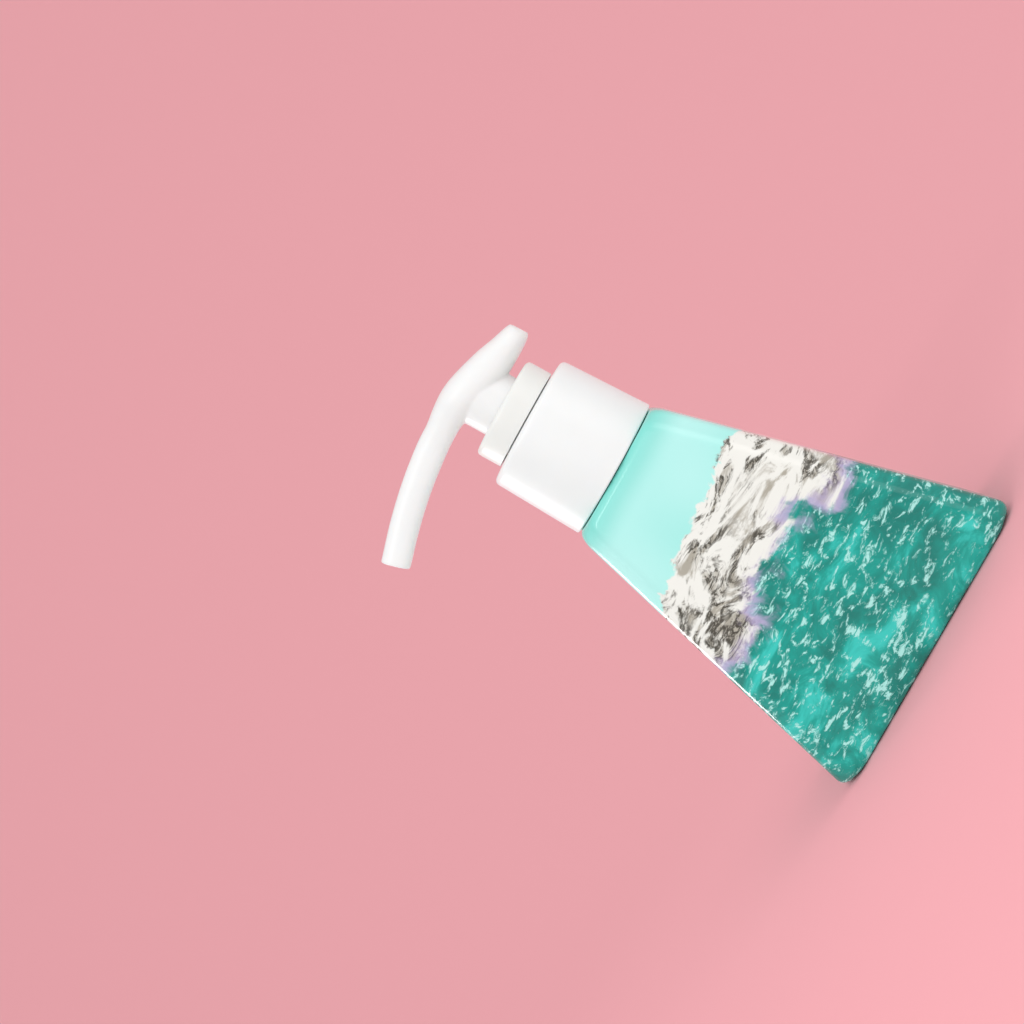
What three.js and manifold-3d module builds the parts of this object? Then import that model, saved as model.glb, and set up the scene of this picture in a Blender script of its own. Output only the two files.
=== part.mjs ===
// Toothpaste pump dispenser: a tapered bottle, its screw closure, and a pump whose curved
// spout swivels and presses down against a return spring.
// Millimetres, +Z up. The origin is the centre of the flat base, the pump's axis is Z,
// the front faces -Y and the spout points to -X. The head is pressed down, as it is
// when it has just given its paste.

import * as THREE from 'three';
import { mergeVertices } from 'three/addons/utils/BufferGeometryUtils.js';
import Module from 'manifold-3d';

const wasm = await Module();
wasm.setup();
const { Manifold, Mesh: SolidMesh } = wasm;

// Fits
const seatGap = 0.3;            // between faces that rest on each other
const slideGap = 0.3;           // round a piece that slides or turns in another

// Bottle
const bodyHeight = 92.7;        // base to shoulder
const baseWidth = 85.5;
const baseDepth = 54;
const shoulderWidth = 39.3;     // where the tapered sides would meet the shoulder
const shoulderDepth = 38.4;
const cornerBevel = 4.6;        // the bevel that runs up each corner
const bevelRounding = 1.4;
const heelRadius = 4;
const shoulderDrop = 4.2;       // height of the rounded band below the shoulder
const shoulderPull = 1.6;       // how far that band leans in
const bottleWall = 1.2;
const contentsDepth = 81;       // height of the paste in the bottle

// Neck and thread
const neckRadius = 15.1;
const neckWall = 1.7;
const neckHeight = 21.3;
const beadHeight = 1.8;         // the ring round the neck below the thread
const beadReach = 1.1;
const beadRise = 4.5;
const threadPitch = 4.23;
const threadTurns = 1.5;
const threadDepth = 1.2;
const threadRootHalf = 0.95;
const threadCrestHalf = 0.45;
const threadTopMargin = 3.2;

// Closure
const closureWall = 2.1;
const closureFlare = 0.95;      // how much wider the closure is at its foot
const closurePanel = 1.6;
const closureCrown = 0.5;
const closureEdge = 1.3;
const skirtLift = 0.5;          // from the shoulder to the closure's foot
const skirtRelief = 11;         // height of the foot that has no thread and a wider bore
const reliefDepth = 1.1;

// Pump head
const skirtRadius = 8.65;
const skirtWall = 1.3;
const skirtDepth = 13;          // how far the pressed skirt stands in the collar
const tabReach = 20.7;
const tabThickness = 6.2;
const tabClearance = 2.8;       // from the collar to the tab above it
const headWidth = 19;
const crownHeight = 15.9;       // from the collar to the highest point
const crownThickness = 10.4;
const spoutReach = 51.6;
const spoutRise = 11.3;         // from the collar to the spout's middle, near its root
const spoutDrop = 6.8;          // from there down to the middle of the tip
const spoutRadius = 4.25;
const tipRadius = 4.05;
const channelRadius = 2.6;
const socketWall = 1.4;
const socketDepth = 9;          // length of stem inside the head

// Collar
const collarHeight = 7.3;
const collarRim = 3.75;         // from the hub out to the collar's side
const collarShell = 1.4;
const collarEdge = 1.2;
const hubWall = 1.5;
const hubFloor = 1.4;
const guideLength = 4.1;

// Pump
const stroke = 9;
const gasketThickness = 1.2;
const flangeThickness = 2.2;
const cupWall = 1.4;
const barrelRadius = 6;
const barrelWall = 1.2;
const ventRadius = 0.8;
const stemRadius = 3.5;
const stemBore = 2.2;
const pistonLength = 6.7;
const pistonLip = 0.9;
const rodFlange = 1.2;
const rodLength = 14;
const rodRib = 1;
const springRadius = 4.5;       // to the middle of the wire
const springWire = 0.8;
const springTurns = 7;
const springPressed = 8.6;
const cageThickness = 1.2;
const ballRadius = 2.5;
const ballLift = 1.2;
const seatHole = 1.7;
const tubeRadius = 4;
const tubeWall = 0.8;
const tubeSocket = 12;
const tubeFoot = 3;             // from the bottle's floor to the tube's lower end

// Heights, from the neck up
const neckTop = bodyHeight + neckHeight;
const gasketFoot = neckTop + seatGap;
const flangeFoot = gasketFoot + gasketThickness + seatGap;
const flangeTop = flangeFoot + flangeThickness;
const panelFoot = flangeTop + seatGap;
const closureTop = panelFoot + closurePanel;
const collarFoot = closureTop + seatGap;
const collarTop = collarFoot + collarHeight;

// Heights, from the collar down through the pump
const skirtFoot = collarTop - skirtDepth;
const hubFloorTop = skirtFoot - seatGap;
const hubFoot = hubFloorTop - hubFloor;
const cupFloor = hubFoot - seatGap;
const guideFoot = hubFoot - guideLength;
const pistonTop = guideFoot - seatGap - stroke;
const pistonFoot = pistonTop - pistonLength;
const rodTop = pistonFoot - seatGap;
const rodFoot = rodTop - rodFlange;
const springTop = rodFoot - seatGap;
const springFoot = springTop - springPressed;
const cageTop = springFoot - seatGap;
const cageFoot = cageTop - cageThickness;
const barrelFloor = cageFoot - seatGap;
const ballTop = cageFoot - seatGap - ballLift;
const ballMiddle = ballTop - ballRadius;

// Radii that follow from what fits in what
const neckBore = neckRadius - neckWall;
const closureBore = neckRadius + threadDepth + slideGap + 0.05;
const closureRadius = closureBore + closureWall;
const hubBore = skirtRadius + slideGap;
const hubRadius = hubBore + hubWall;
const cupBore = hubRadius + seatGap;
const cupRadius = cupBore + cupWall;
const collarRadius = hubRadius + collarRim;
const stemHole = stemRadius + slideGap;
const chamberRadius = ballRadius + 0.8;
const tubeBore = tubeRadius - tubeWall;
const socketBore = tubeRadius + seatGap;
const socketRadius = socketBore + 1.1;
const barrelSide = barrelRadius + barrelWall;

// The 45 degree seat that the ball rests on, tangent to the ball at one seat gap
const seatTouch = (ballRadius + seatGap) / Math.SQRT2;
const seatHeight = (radius) => ballMiddle - 2 * seatTouch + radius;
const socketTop = seatHeight(seatHole) - 1;
const socketFoot = socketTop - tubeSocket;
const tubeTop = socketTop - seatGap;
const tubeEnd = bottleWall + tubeFoot;

const fine = 40;                // sides of a large round piece
const coarse = 24;              // sides of a small one
const past = 1;                 // how far a cutter runs past a face
const shortEdge = 0.02;         // edges shorter than this are closed up

// Makes a solid of a closed geometry, with its faces turned outwards
function solid(geometry) {
  const bare = geometry.clone();
  bare.deleteAttribute('normal');
  bare.deleteAttribute('uv');
  const merged = mergeVertices(bare, 1e-4);
  const vertices = new Float32Array(merged.attributes.position.array);
  const corner = (i) => new THREE.Vector3().fromArray(vertices, 3 * i);
  const faces = [];
  let volume = 0;
  for (let i = 0; i < merged.index.count; i += 3) {
    const [a, b, c] = [0, 1, 2].map((k) => merged.index.getX(i + k));
    if (a === b || b === c || c === a) continue;
    faces.push([a, b, c]);
    volume += corner(a).dot(corner(b).cross(corner(c)));
  }
  const triangles = Uint32Array.from(faces.flatMap(([a, b, c]) => (volume < 0 ? [a, c, b] : [a, b, c])));
  return new Manifold(new SolidMesh({ numProp: 3, vertProperties: vertices, triVerts: triangles }));
}

// Draws the ends of every edge shorter than shortEdge together, and drops the faces that vanish
function withoutShortEdges(vertices, triangles) {
  const spot = (i) => new THREE.Vector3().fromArray(vertices, 3 * i);
  const joined = Array.from({ length: vertices.length / 3 }, (_, i) => i);
  const last = (i) => (joined[i] === i ? i : last(joined[i]));
  const edges = [[0, 1], [1, 2], [2, 0]];
  for (let i = 0; i < triangles.length; i += 3) {
    for (const [from, to] of edges) {
      const [a, b] = [last(triangles[i + from]), last(triangles[i + to])];
      if (a !== b && spot(a).distanceTo(spot(b)) < shortEdge) joined[Math.max(a, b)] = Math.min(a, b);
    }
  }
  const kept = [];
  for (let i = 0; i < triangles.length; i += 3) {
    const face = [0, 1, 2].map((k) => last(triangles[i + k]));
    if (new Set(face).size === 3) kept.push(...face);
  }
  return Uint32Array.from(kept);
}

// Turns a solid back into a named mesh of its own material
function piece(name, shape, colour, roughness, metalness = 0) {
  const { vertProperties, triVerts } = shape.getMesh();
  const geometry = new THREE.BufferGeometry();
  geometry.setAttribute('position', new THREE.BufferAttribute(vertProperties, 3));
  geometry.setIndex(new THREE.BufferAttribute(withoutShortEdges(vertProperties, triVerts), 1));
  geometry.computeVertexNormals();
  const mesh = new THREE.Mesh(geometry, new THREE.MeshStandardMaterial({ color: colour, roughness, metalness }));
  mesh.name = name;
  return mesh;
}

// A closed outline whose corners [x, y, cut] are rounded by a curve that starts `cut` away
function rounded(corners, steps = 3) {
  const at = (i) => corners[(i + corners.length) % corners.length];
  const points = [];
  for (let i = 0; i < corners.length; i += 1) {
    const [x, y, cut = 0] = at(i);
    const corner = new THREE.Vector2(x, y);
    if (cut === 0) {
      points.push(corner);
      continue;
    }
    const side = (other) => {
      const toward = new THREE.Vector2(other[0], other[1]).sub(corner);
      return corner.clone().addScaledVector(toward.clone().normalize(), Math.min(cut, toward.length() * 0.48));
    };
    points.push(...new THREE.QuadraticBezierCurve(side(at(i - 1)), corner, side(at(i + 1))).getPoints(steps));
  }
  return points;
}

// A solid of revolution about Z from a closed profile of [radius, height, cut] corners
function turned(corners, sides = coarse, steps = 3) {
  const profile = rounded(corners, steps);
  profile.push(profile[0].clone());
  return solid(new THREE.LatheGeometry(profile, sides).rotateX(Math.PI / 2));
}

const disc = (radius, foot, top, sides = coarse) => turned([[0, foot], [radius, foot], [radius, top], [0, top]], sides);

const tube = (bore, radius, foot, top, sides = coarse) =>
  turned([[bore, foot], [radius, foot], [radius, top], [bore, top]], sides);

function block(width, depth, height, x, y, z) {
  return solid(new THREE.BoxGeometry(width, depth, height).translate(x, y, z));
}

// A closed skin: the rings of a unit cylinder, each vertex carried to rim(along, turn) and the
// middle of each end to centre(along), with along and turn from 0 to 1
function skin(sides, rings, centre, rim) {
  const geometry = new THREE.CylinderGeometry(1, 1, 1, sides, rings);
  const position = geometry.attributes.position;
  const vertex = new THREE.Vector3();
  for (let i = 0; i < position.count; i += 1) {
    vertex.fromBufferAttribute(position, i);
    const along = vertex.y + 0.5;
    const onRim = Math.hypot(vertex.x, vertex.z) > 0.5;
    const turn = (Math.atan2(vertex.x, vertex.z) / (2 * Math.PI) + 1) % 1;
    const spot = onRim ? rim(along, turn) : centre(along);
    position.setXYZ(i, spot.x, spot.y, spot.z);
  }
  return solid(geometry);
}

const around = (radius, angle, height) =>
  new THREE.Vector3(radius * Math.cos(angle), radius * Math.sin(angle), height);

// The stations of the body from base to shoulder: [height, pull in from the tapered side]
function bodyStations() {
  const arc = [0, 0.25, 0.5, 0.75, 1].map((share) => (share * Math.PI) / 2);
  const heel = arc.map((a) => [heelRadius * (1 - Math.cos(a)), heelRadius * (1 - Math.sin(a))]);
  const shoulder = arc.map((a) => [
    bodyHeight - shoulderDrop * (1 - Math.sin(a)),
    shoulderPull * (1 - Math.cos(a)),
  ]);
  return [...heel, ...shoulder];
}

// The bottle's plan at one station: a rectangle with rounded bevels at its corners
function bodyPlan([height, pull], inset) {
  const share = height / bodyHeight;
  const halfWidth = THREE.MathUtils.lerp(baseWidth, shoulderWidth, share) / 2 - pull - inset;
  const halfDepth = THREE.MathUtils.lerp(baseDepth, shoulderDepth, share) / 2 - pull - inset;
  const bevel = cornerBevel - inset * 0.6;
  const quarter = [[halfWidth, halfDepth - bevel], [halfWidth - bevel, halfDepth]];
  const corners = [
    ...quarter,
    ...quarter.map(([x, y]) => [-x, y]).reverse(),
    ...quarter.map(([x, y]) => [-x, -y]),
    ...quarter.map(([x, y]) => [x, -y]).reverse(),
  ];
  return rounded(corners.map(([x, y]) => [x, y, bevelRounding]), 2);
}

// The body's outer skin, or the same skin drawn in by a wall
function bodySkin(inset) {
  const stations = bodyStations();
  const plans = stations.map((station) => bodyPlan(station, inset));
  const heightOf = (station) => inset + (station[0] * (bodyHeight - 2 * inset)) / bodyHeight;
  const pick = (along) => Math.round(along * (stations.length - 1));
  const sides = plans[0].length;
  const centre = (along) => new THREE.Vector3(0, 0, heightOf(stations[pick(along)]));
  const rim = (along, turn) => {
    const station = pick(along);
    const spot = plans[station][Math.round(turn * sides) % sides];
    return new THREE.Vector3(spot.x, spot.y, heightOf(stations[station]));
  };
  return skin(sides, stations.length - 1, centre, rim);
}

// A thread ridge from its root radius to its crest, with both ends running out into the wall
function threadRidge(root, crest, foot) {
  const buried = Math.sign(root - crest) * 0.35;
  const steps = Math.round(threadTurns * 32);
  const runOut = 0.06;
  const corners = [[0, -1], [0, 1], [1, 1], [1, -1]];
  const spot = (along, out, side) => {
    const fade = Math.min(1, along / runOut, (1 - along) / runOut);
    const half = THREE.MathUtils.lerp(threadRootHalf, threadCrestHalf, out);
    const tip = THREE.MathUtils.lerp(root + buried * 0.5, crest, fade);
    const radius = out === 0 ? root + buried : tip;
    const angle = along * threadTurns * 2 * Math.PI;
    return around(radius, angle, foot + along * threadTurns * threadPitch + side * half);
  };
  const centre = (along) => spot(along, 0.5, 0);
  const rim = (along, turn) => spot(along, ...corners[Math.round(turn * 4) % 4]);
  return skin(4, steps, centre, rim);
}

const threadFoot = neckTop - threadTopMargin - threadTurns * threadPitch;

// How far the closure's ridge sits below the neck's, so that its upper flank bears on it
function threadSeat() {
  const flank = (threadRootHalf - threadCrestHalf) / threadDepth;
  const overlap = closureBore - neckRadius;
  return 2 * threadRootHalf - flank * overlap + seatGap + 0.05;
}

function makeBottle() {
  const neck = turned([
    [neckRadius - neckWall - 2, bodyHeight - bottleWall],
    [neckRadius, bodyHeight - bottleWall],
    [neckRadius, bodyHeight + beadRise],
    [neckRadius + beadReach, bodyHeight + beadRise, 0.4],
    [neckRadius + beadReach, bodyHeight + beadRise + beadHeight, 0.4],
    [neckRadius, bodyHeight + beadRise + beadHeight],
    [neckRadius, neckTop, 0.5],
    [neckRadius - neckWall - 2, neckTop],
  ], fine);
  const mouth = disc(neckBore, bodyHeight - 2 * bottleWall, neckTop + past, fine);
  return bodySkin(0)
    .add(neck)
    .subtract(bodySkin(bottleWall))
    .add(threadRidge(neckRadius, neckRadius + threadDepth, threadFoot))
    .subtract(mouth);
}

function makeContents() {
  const room = seatGap + 0.1;
  const above = block(2 * baseWidth, 2 * baseDepth, bodyHeight, 0, 0, contentsDepth + bodyHeight / 2);
  const pumpHole = disc(Math.max(barrelSide, socketRadius) + room, socketFoot - room, bodyHeight + past);
  const tubeHole = disc(tubeRadius + room, tubeEnd - room, bodyHeight + past);
  return bodySkin(bottleWall + seatGap).subtract(above).subtract(pumpHole).subtract(tubeHole);
}

const makeGasket = () => tube(cupRadius + seatGap, neckRadius, gasketFoot, gasketFoot + gasketThickness, fine);

function makeClosure() {
  const foot = bodyHeight + skirtLift;
  const reliefTop = foot + skirtRelief;
  const footRadius = closureRadius + closureFlare;
  const hole = hubRadius + slideGap;
  const shell = turned([
    [closureBore + reliefDepth, foot],
    [footRadius, foot, closureEdge],
    [closureRadius, closureTop - closureCrown, closureEdge],
    [hole, closureTop],
    [hole, panelFoot],
    [closureBore, panelFoot],
    [closureBore, reliefTop],
    [closureBore + reliefDepth, reliefTop - reliefDepth],
  ], fine, 4);
  const crest = closureBore - threadDepth;
  return shell.add(threadRidge(closureBore, crest, threadFoot - threadSeat()));
}

function makeCollar() {
  const grooveTop = collarTop - collarShell;
  return turned([
    [hubBore, collarTop, 0.4],
    [collarRadius, collarTop, collarEdge],
    [collarRadius, collarFoot, 0.3],
    [collarRadius - collarShell, collarFoot],
    [collarRadius - collarShell, grooveTop],
    [hubRadius, grooveTop],
    [hubRadius, hubFoot],
    [barrelRadius - slideGap - 0.2, hubFoot],
    [barrelRadius - slideGap - 0.2, guideFoot],
    [stemHole, guideFoot],
    [stemHole, hubFloorTop],
    [hubBore, hubFloorTop],
  ], fine, 2);
}

function makeHousing() {
  const coneTop = cupFloor - 1.5 * cupWall;
  const body = turned([
    [cupBore, flangeTop],
    [neckRadius, flangeTop, 0.4],
    [neckRadius, flangeFoot],
    [cupRadius, flangeFoot],
    [cupRadius, coneTop, 1],
    [barrelSide, coneTop - (cupRadius - barrelSide) * 0.7, 1],
    [barrelSide, barrelFloor - barrelWall, 0.8],
    [socketRadius, seatHeight(chamberRadius) - 1, 0.5],
    [socketRadius, socketFoot, 0.4],
    [socketBore, socketFoot],
    [socketBore, socketTop],
    [seatHole, socketTop],
    [seatHole, seatHeight(seatHole)],
    [chamberRadius, seatHeight(chamberRadius)],
    [chamberRadius, barrelFloor],
    [barrelRadius, barrelFloor],
    [barrelRadius, cupFloor - 1],
    [barrelRadius + 1, cupFloor],
    [cupBore, cupFloor],
  ], 32, 2);
  const ventHeight = (pistonTop + guideFoot) / 2;
  const vent = solid(new THREE.CylinderGeometry(ventRadius, ventRadius, barrelSide + past, 12)
    .rotateZ(Math.PI / 2)
    .translate((barrelSide + past) / 2 + 1, 0, ventHeight));
  return body.subtract(vent);
}

function makeCage() {
  const boss = springRadius - springWire / 2 - slideGap;
  const body = turned([
    [seatHole, cageFoot],
    [barrelRadius - seatGap, cageFoot],
    [barrelRadius - seatGap, cageTop],
    [boss, cageTop],
    [boss, cageTop + 1.6, 0.4],
    [seatHole, cageTop + 1.6],
  ]);
  const slot = block(2 * (boss - 0.6), 1, 2 * past, 0, 0, cageFoot);
  return body.subtract(slot).subtract(slot.rotate([0, 0, 90]));
}

const makeBall = () => solid(new THREE.SphereGeometry(ballRadius, 16, 10).translate(0, 0, ballMiddle));

// The spring: a round wire on a helix whose first and last turns lie nearly flat
function makeSpring() {
  const flatRise = springWire * 1.2;
  const rise = springPressed - springWire - 2 * flatRise;
  const heightAt = (along) => {
    const turns = along * springTurns;
    const open = THREE.MathUtils.clamp((turns - 1) / (springTurns - 2), 0, 1);
    return Math.min(turns, 1) * flatRise + open * rise + Math.max(0, turns - springTurns + 1) * flatRise;
  };
  const foot = springFoot + springWire / 2;
  const centre = (along) => around(springRadius, along * springTurns * 2 * Math.PI, foot + heightAt(along));
  const rim = (along, turn) => {
    const swing = -turn * 2 * Math.PI;
    const radius = springRadius + (springWire / 2) * Math.cos(swing);
    const lift = (springWire / 2) * Math.sin(swing);
    return around(radius, along * springTurns * 2 * Math.PI, foot + heightAt(along) + lift);
  };
  return skin(6, springTurns * 14, centre, rim);
}

function makePiston() {
  const outer = barrelRadius - slideGap;
  const waist = outer - 0.6;
  const shelf = pistonFoot + pistonLength * 0.34;
  return turned([
    [stemBore + slideGap, pistonFoot],
    [outer - 0.2, pistonFoot],
    [outer, pistonFoot + pistonLip],
    [waist, pistonFoot + 2 * pistonLip],
    [waist, pistonTop - 2 * pistonLip],
    [outer, pistonTop - pistonLip],
    [outer - 0.2, pistonTop],
    [stemHole, pistonTop],
    [stemHole, shelf],
    [stemBore + slideGap, shelf],
  ]);
}

const stemFoot = pistonFoot + pistonLength * 0.34 + seatGap;
const stemTop = collarTop + tabClearance + 2.6;

const makeStem = () => tube(stemBore, stemRadius, stemFoot, stemTop);

// The rod: a flange below the piston, a nose inside the spring, and a cross-shaped shaft up the stem
function makeRod() {
  const nose = springRadius - springWire / 2 - slideGap;
  const body = turned([
    [0, rodFoot - 1.4],
    [nose - 0.3, rodFoot - 1.4],
    [nose, rodFoot],
    [springRadius + springWire / 2, rodFoot, 0.3],
    [springRadius + springWire / 2, rodTop],
    [0, rodTop],
  ]);
  const width = 2 * (stemBore - seatGap);
  const shaft = block(width, rodRib, rodLength + 1, 0, 0, rodTop + (rodLength - 1) / 2);
  return body.add(shaft).add(shaft.rotate([0, 0, 90]));
}

function makeDipTube() {
  const wall = tube(tubeBore, tubeRadius, tubeEnd, tubeTop);
  const cutter = solid(new THREE.BoxGeometry(6 * tubeRadius, 4 * tubeRadius, 2 * tubeRadius)
    .translate(0, 0, -tubeRadius)
    .rotateY(THREE.MathUtils.degToRad(35))
    .translate(-tubeRadius, 0, tubeEnd));
  return wall.subtract(cutter);
}

// The middle line of the pump head from the thumb tab over the crown to the spout's tip,
// with the half-thickness and half-width of the head at each point
function headStations() {
  const tabMiddle = tabClearance + tabThickness / 2;
  const crownMiddle = crownHeight - crownThickness / 2;
  const root = tabReach * -0.65;
  const bend = (share) => spoutRise - spoutDrop * share ** 1.75;
  const spoutAt = (share) => [
    root + (root + spoutReach) * -share,
    bend(share),
    THREE.MathUtils.lerp(spoutRadius, tipRadius, share),
    THREE.MathUtils.lerp(spoutRadius, tipRadius, share),
  ];
  return [
    [tabReach, tabMiddle, tabThickness * 0.34, headWidth * 0.17],
    [tabReach - 0.35, tabMiddle, tabThickness * 0.45, headWidth * 0.24],
    [tabReach - 1.4, tabMiddle + 0.1, tabThickness * 0.52, headWidth * 0.32],
    [tabReach - 3.6, tabMiddle + 0.4, tabThickness * 0.6, headWidth * 0.39],
    [tabReach * 0.65, tabMiddle + 1, tabThickness * 0.7, headWidth * 0.45],
    [tabReach * 0.4, tabMiddle + 2.1, tabThickness * 0.84, headWidth * 0.49],
    [0, crownMiddle - 0.6, crownThickness * 0.53, headWidth * 0.5],
    [tabReach * -0.22, crownMiddle + 0.4, crownThickness * 0.5, headWidth * 0.47],
    [tabReach * -0.44, crownMiddle + 0.75, crownThickness * 0.44, headWidth * 0.37],
    [root, spoutRise, spoutRadius * 0.98, spoutRadius * 1.3],
    spoutAt(0.16),
    spoutAt(0.42),
    spoutAt(0.7),
    spoutAt(1),
  ];
}

// Smooth curves through the stations; the last one gives the half-thickness and half-width
function headCurves() {
  const stations = headStations();
  const middle = new THREE.CatmullRomCurve3(
    stations.map(([x, rise]) => new THREE.Vector3(x, 0, collarTop + rise)), false, 'catmullrom', 0.5);
  const size = new THREE.CatmullRomCurve3(
    stations.map(([, , thick, wide]) => new THREE.Vector3(thick, wide, 0)), false, 'catmullrom', 0.4);
  return { middle, size };
}

function headSkin() {
  const { middle, size } = headCurves();
  const rim = (along, turn) => {
    const centre = middle.getPoint(along);
    const [thick, wide] = size.getPoint(along).toArray();
    const travel = middle.getTangent(along);
    const up = new THREE.Vector3(0, 1, 0).cross(travel);
    const angle = turn * 2 * Math.PI;
    const lift = Math.sign(Math.sin(angle)) * Math.abs(Math.sin(angle)) ** 0.92;
    const out = Math.sign(Math.cos(angle)) * Math.abs(Math.cos(angle)) ** 0.92;
    return centre.addScaledVector(up, thick * lift).add(new THREE.Vector3(0, wide * out, 0));
  };
  return skin(28, 36, (along) => middle.getPoint(along), rim);
}

// The paste's way through the head: up from the stem, round the bend and out along the spout
function headChannel() {
  const { middle } = headCurves();
  const start = 0.72;
  const path = new THREE.CatmullRomCurve3([
    new THREE.Vector3(0, 0, stemTop - 1.7),
    new THREE.Vector3(0, 0, stemTop + 1.5),
    new THREE.Vector3(-3, 0, collarTop + spoutRise - 1.6),
    ...[start, 0.8, 0.87, 0.94, 1].map((share) => middle.getPoint(share)),
    middle.getPoint(1).addScaledVector(middle.getTangent(1), past),
  ], false, 'centripetal');
  const rim = (along, turn) => {
    const travel = path.getTangent(along);
    const up = new THREE.Vector3(0, 1, 0).cross(travel).normalize();
    const angle = turn * 2 * Math.PI;
    return path.getPoint(along)
      .addScaledVector(up, channelRadius * Math.sin(angle))
      .add(new THREE.Vector3(0, channelRadius * Math.cos(angle), 0));
  };
  return skin(12, 22, (along) => path.getPoint(along), rim);
}

function makeHead() {
  const innerTop = collarTop + crownHeight * 0.55;
  const bore = stemRadius + seatGap;
  const socket = bore + socketWall;
  const skirt = turned([
    [0, skirtFoot + 1],
    [skirtRadius - skirtWall, skirtFoot],
    [skirtRadius, skirtFoot, 0.4],
    [skirtRadius, innerTop],
    [0, innerTop],
  ], fine);
  const room = turned([
    [socket, innerTop - 1.5, 0.5],
    [skirtRadius - skirtWall, innerTop - 1.5, 0.5],
    [skirtRadius - skirtWall, skirtFoot - past],
    [0, skirtFoot - past],
    [0, stemTop + seatGap - socketDepth],
    [socket, stemTop + seatGap - socketDepth],
  ], fine);
  const stemRoom = disc(bore, skirtFoot, stemTop + seatGap);
  return headSkin().add(skirt).subtract(room).subtract(stemRoom).subtract(headChannel());
}

const white = 0xf3f4f2;
const closureWhite = 0xfafbfa;
const aqua = 0x9fe8e0;

const dispenser = new THREE.Group();
dispenser.add(
  piece('bottle', makeBottle(), aqua, 0.28),
  piece('toothpaste_fill', makeContents(), 0xf4c9d2, 0.45),
  piece('neck_gasket', makeGasket(), 0xe8e8e4, 0.6),
  piece('closure', makeClosure(), closureWhite, 0.3),
  piece('collar', makeCollar(), white, 0.32),
  piece('pump_housing', makeHousing(), white, 0.35),
  piece('ball_cage', makeCage(), white, 0.4),
  piece('inlet_ball', makeBall(), 0xb9bcc0, 0.18, 1),
  piece('return_spring', makeSpring(), 0xaeb2b6, 0.25, 1),
  piece('dip_tube', makeDipTube(), 0xe6eae8, 0.4),
  piece('piston', makePiston(), 0xeef0ee, 0.45),
  piece('piston_rod', makeRod(), white, 0.4),
  piece('stem', makeStem(), white, 0.35),
  piece('pump_head', makeHead(), white, 0.3),
);

export default dispenser;
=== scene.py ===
import math

import bmesh
import bpy
import numpy as np
from mathutils import Matrix, Vector


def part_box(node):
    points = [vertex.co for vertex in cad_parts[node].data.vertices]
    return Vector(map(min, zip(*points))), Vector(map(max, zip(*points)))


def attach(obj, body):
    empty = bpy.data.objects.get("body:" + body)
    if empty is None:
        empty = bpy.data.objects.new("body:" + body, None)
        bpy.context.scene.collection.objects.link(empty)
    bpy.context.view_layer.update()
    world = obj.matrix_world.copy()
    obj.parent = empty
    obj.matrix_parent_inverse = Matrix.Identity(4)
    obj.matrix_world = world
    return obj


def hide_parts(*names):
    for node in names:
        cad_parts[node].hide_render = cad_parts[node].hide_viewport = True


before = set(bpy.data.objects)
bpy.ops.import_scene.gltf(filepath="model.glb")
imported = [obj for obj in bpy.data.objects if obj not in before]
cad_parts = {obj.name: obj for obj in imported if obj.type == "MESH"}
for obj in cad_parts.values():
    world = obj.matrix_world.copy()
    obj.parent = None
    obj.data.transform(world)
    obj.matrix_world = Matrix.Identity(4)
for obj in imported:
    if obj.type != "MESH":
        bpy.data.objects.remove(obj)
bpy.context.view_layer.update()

mm = 0.001


def boxOf(node):
    low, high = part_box(node)
    return np.array(low) / mm, np.array(high) / mm


print("frame loaded")

# Camera: level with the closure and rolled, so that the upright pack leans across the picture
cameraSet = {
    "target": (-23.5, 0.0, 111.4),   # what lies in the middle of the picture
    "distance": 500.0,
    "azimuth": 5.0,                  # degrees round towards +X
    "elevation": 0.0,
    "roll": 61.0,                    # degrees clockwise
    "field": 276.8,                  # width of the picture at the target
    "sensor": 36.0,
    "nearest": 10.0, "farthest": 10000.0,
}


def makeCamera(s):
    data = bpy.data.cameras.new("camera")
    data.sensor_width = s["sensor"]
    data.lens = s["sensor"] * s["distance"] / s["field"]
    data.clip_start, data.clip_end = s["nearest"] * mm, s["farthest"] * mm
    camera = bpy.data.objects.new("camera", data)
    bpy.context.scene.collection.objects.link(camera)
    a, e = math.radians(s["azimuth"]), math.radians(s["elevation"])
    back = Vector((math.sin(a) * math.cos(e), -math.cos(a) * math.cos(e), math.sin(e)))
    turn = (-back).to_track_quat("-Z", "Y").to_matrix().to_4x4()
    roll = Matrix.Rotation(math.radians(-s["roll"]), 4, "Z")
    place = Matrix.Translation((Vector(s["target"]) + back * s["distance"]) * mm)
    camera.matrix_world = place @ turn @ roll
    bpy.context.scene.camera = camera


makeCamera(cameraSet)
bpy.context.scene.view_settings.view_transform = "Standard"
print("camera placed")


skinSet = {
    "merge": 0.0002,        # points nearer than this become one
    "sharpAngle": 42.0,     # degrees between two faces, past which their edge stays sharp
}


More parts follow.
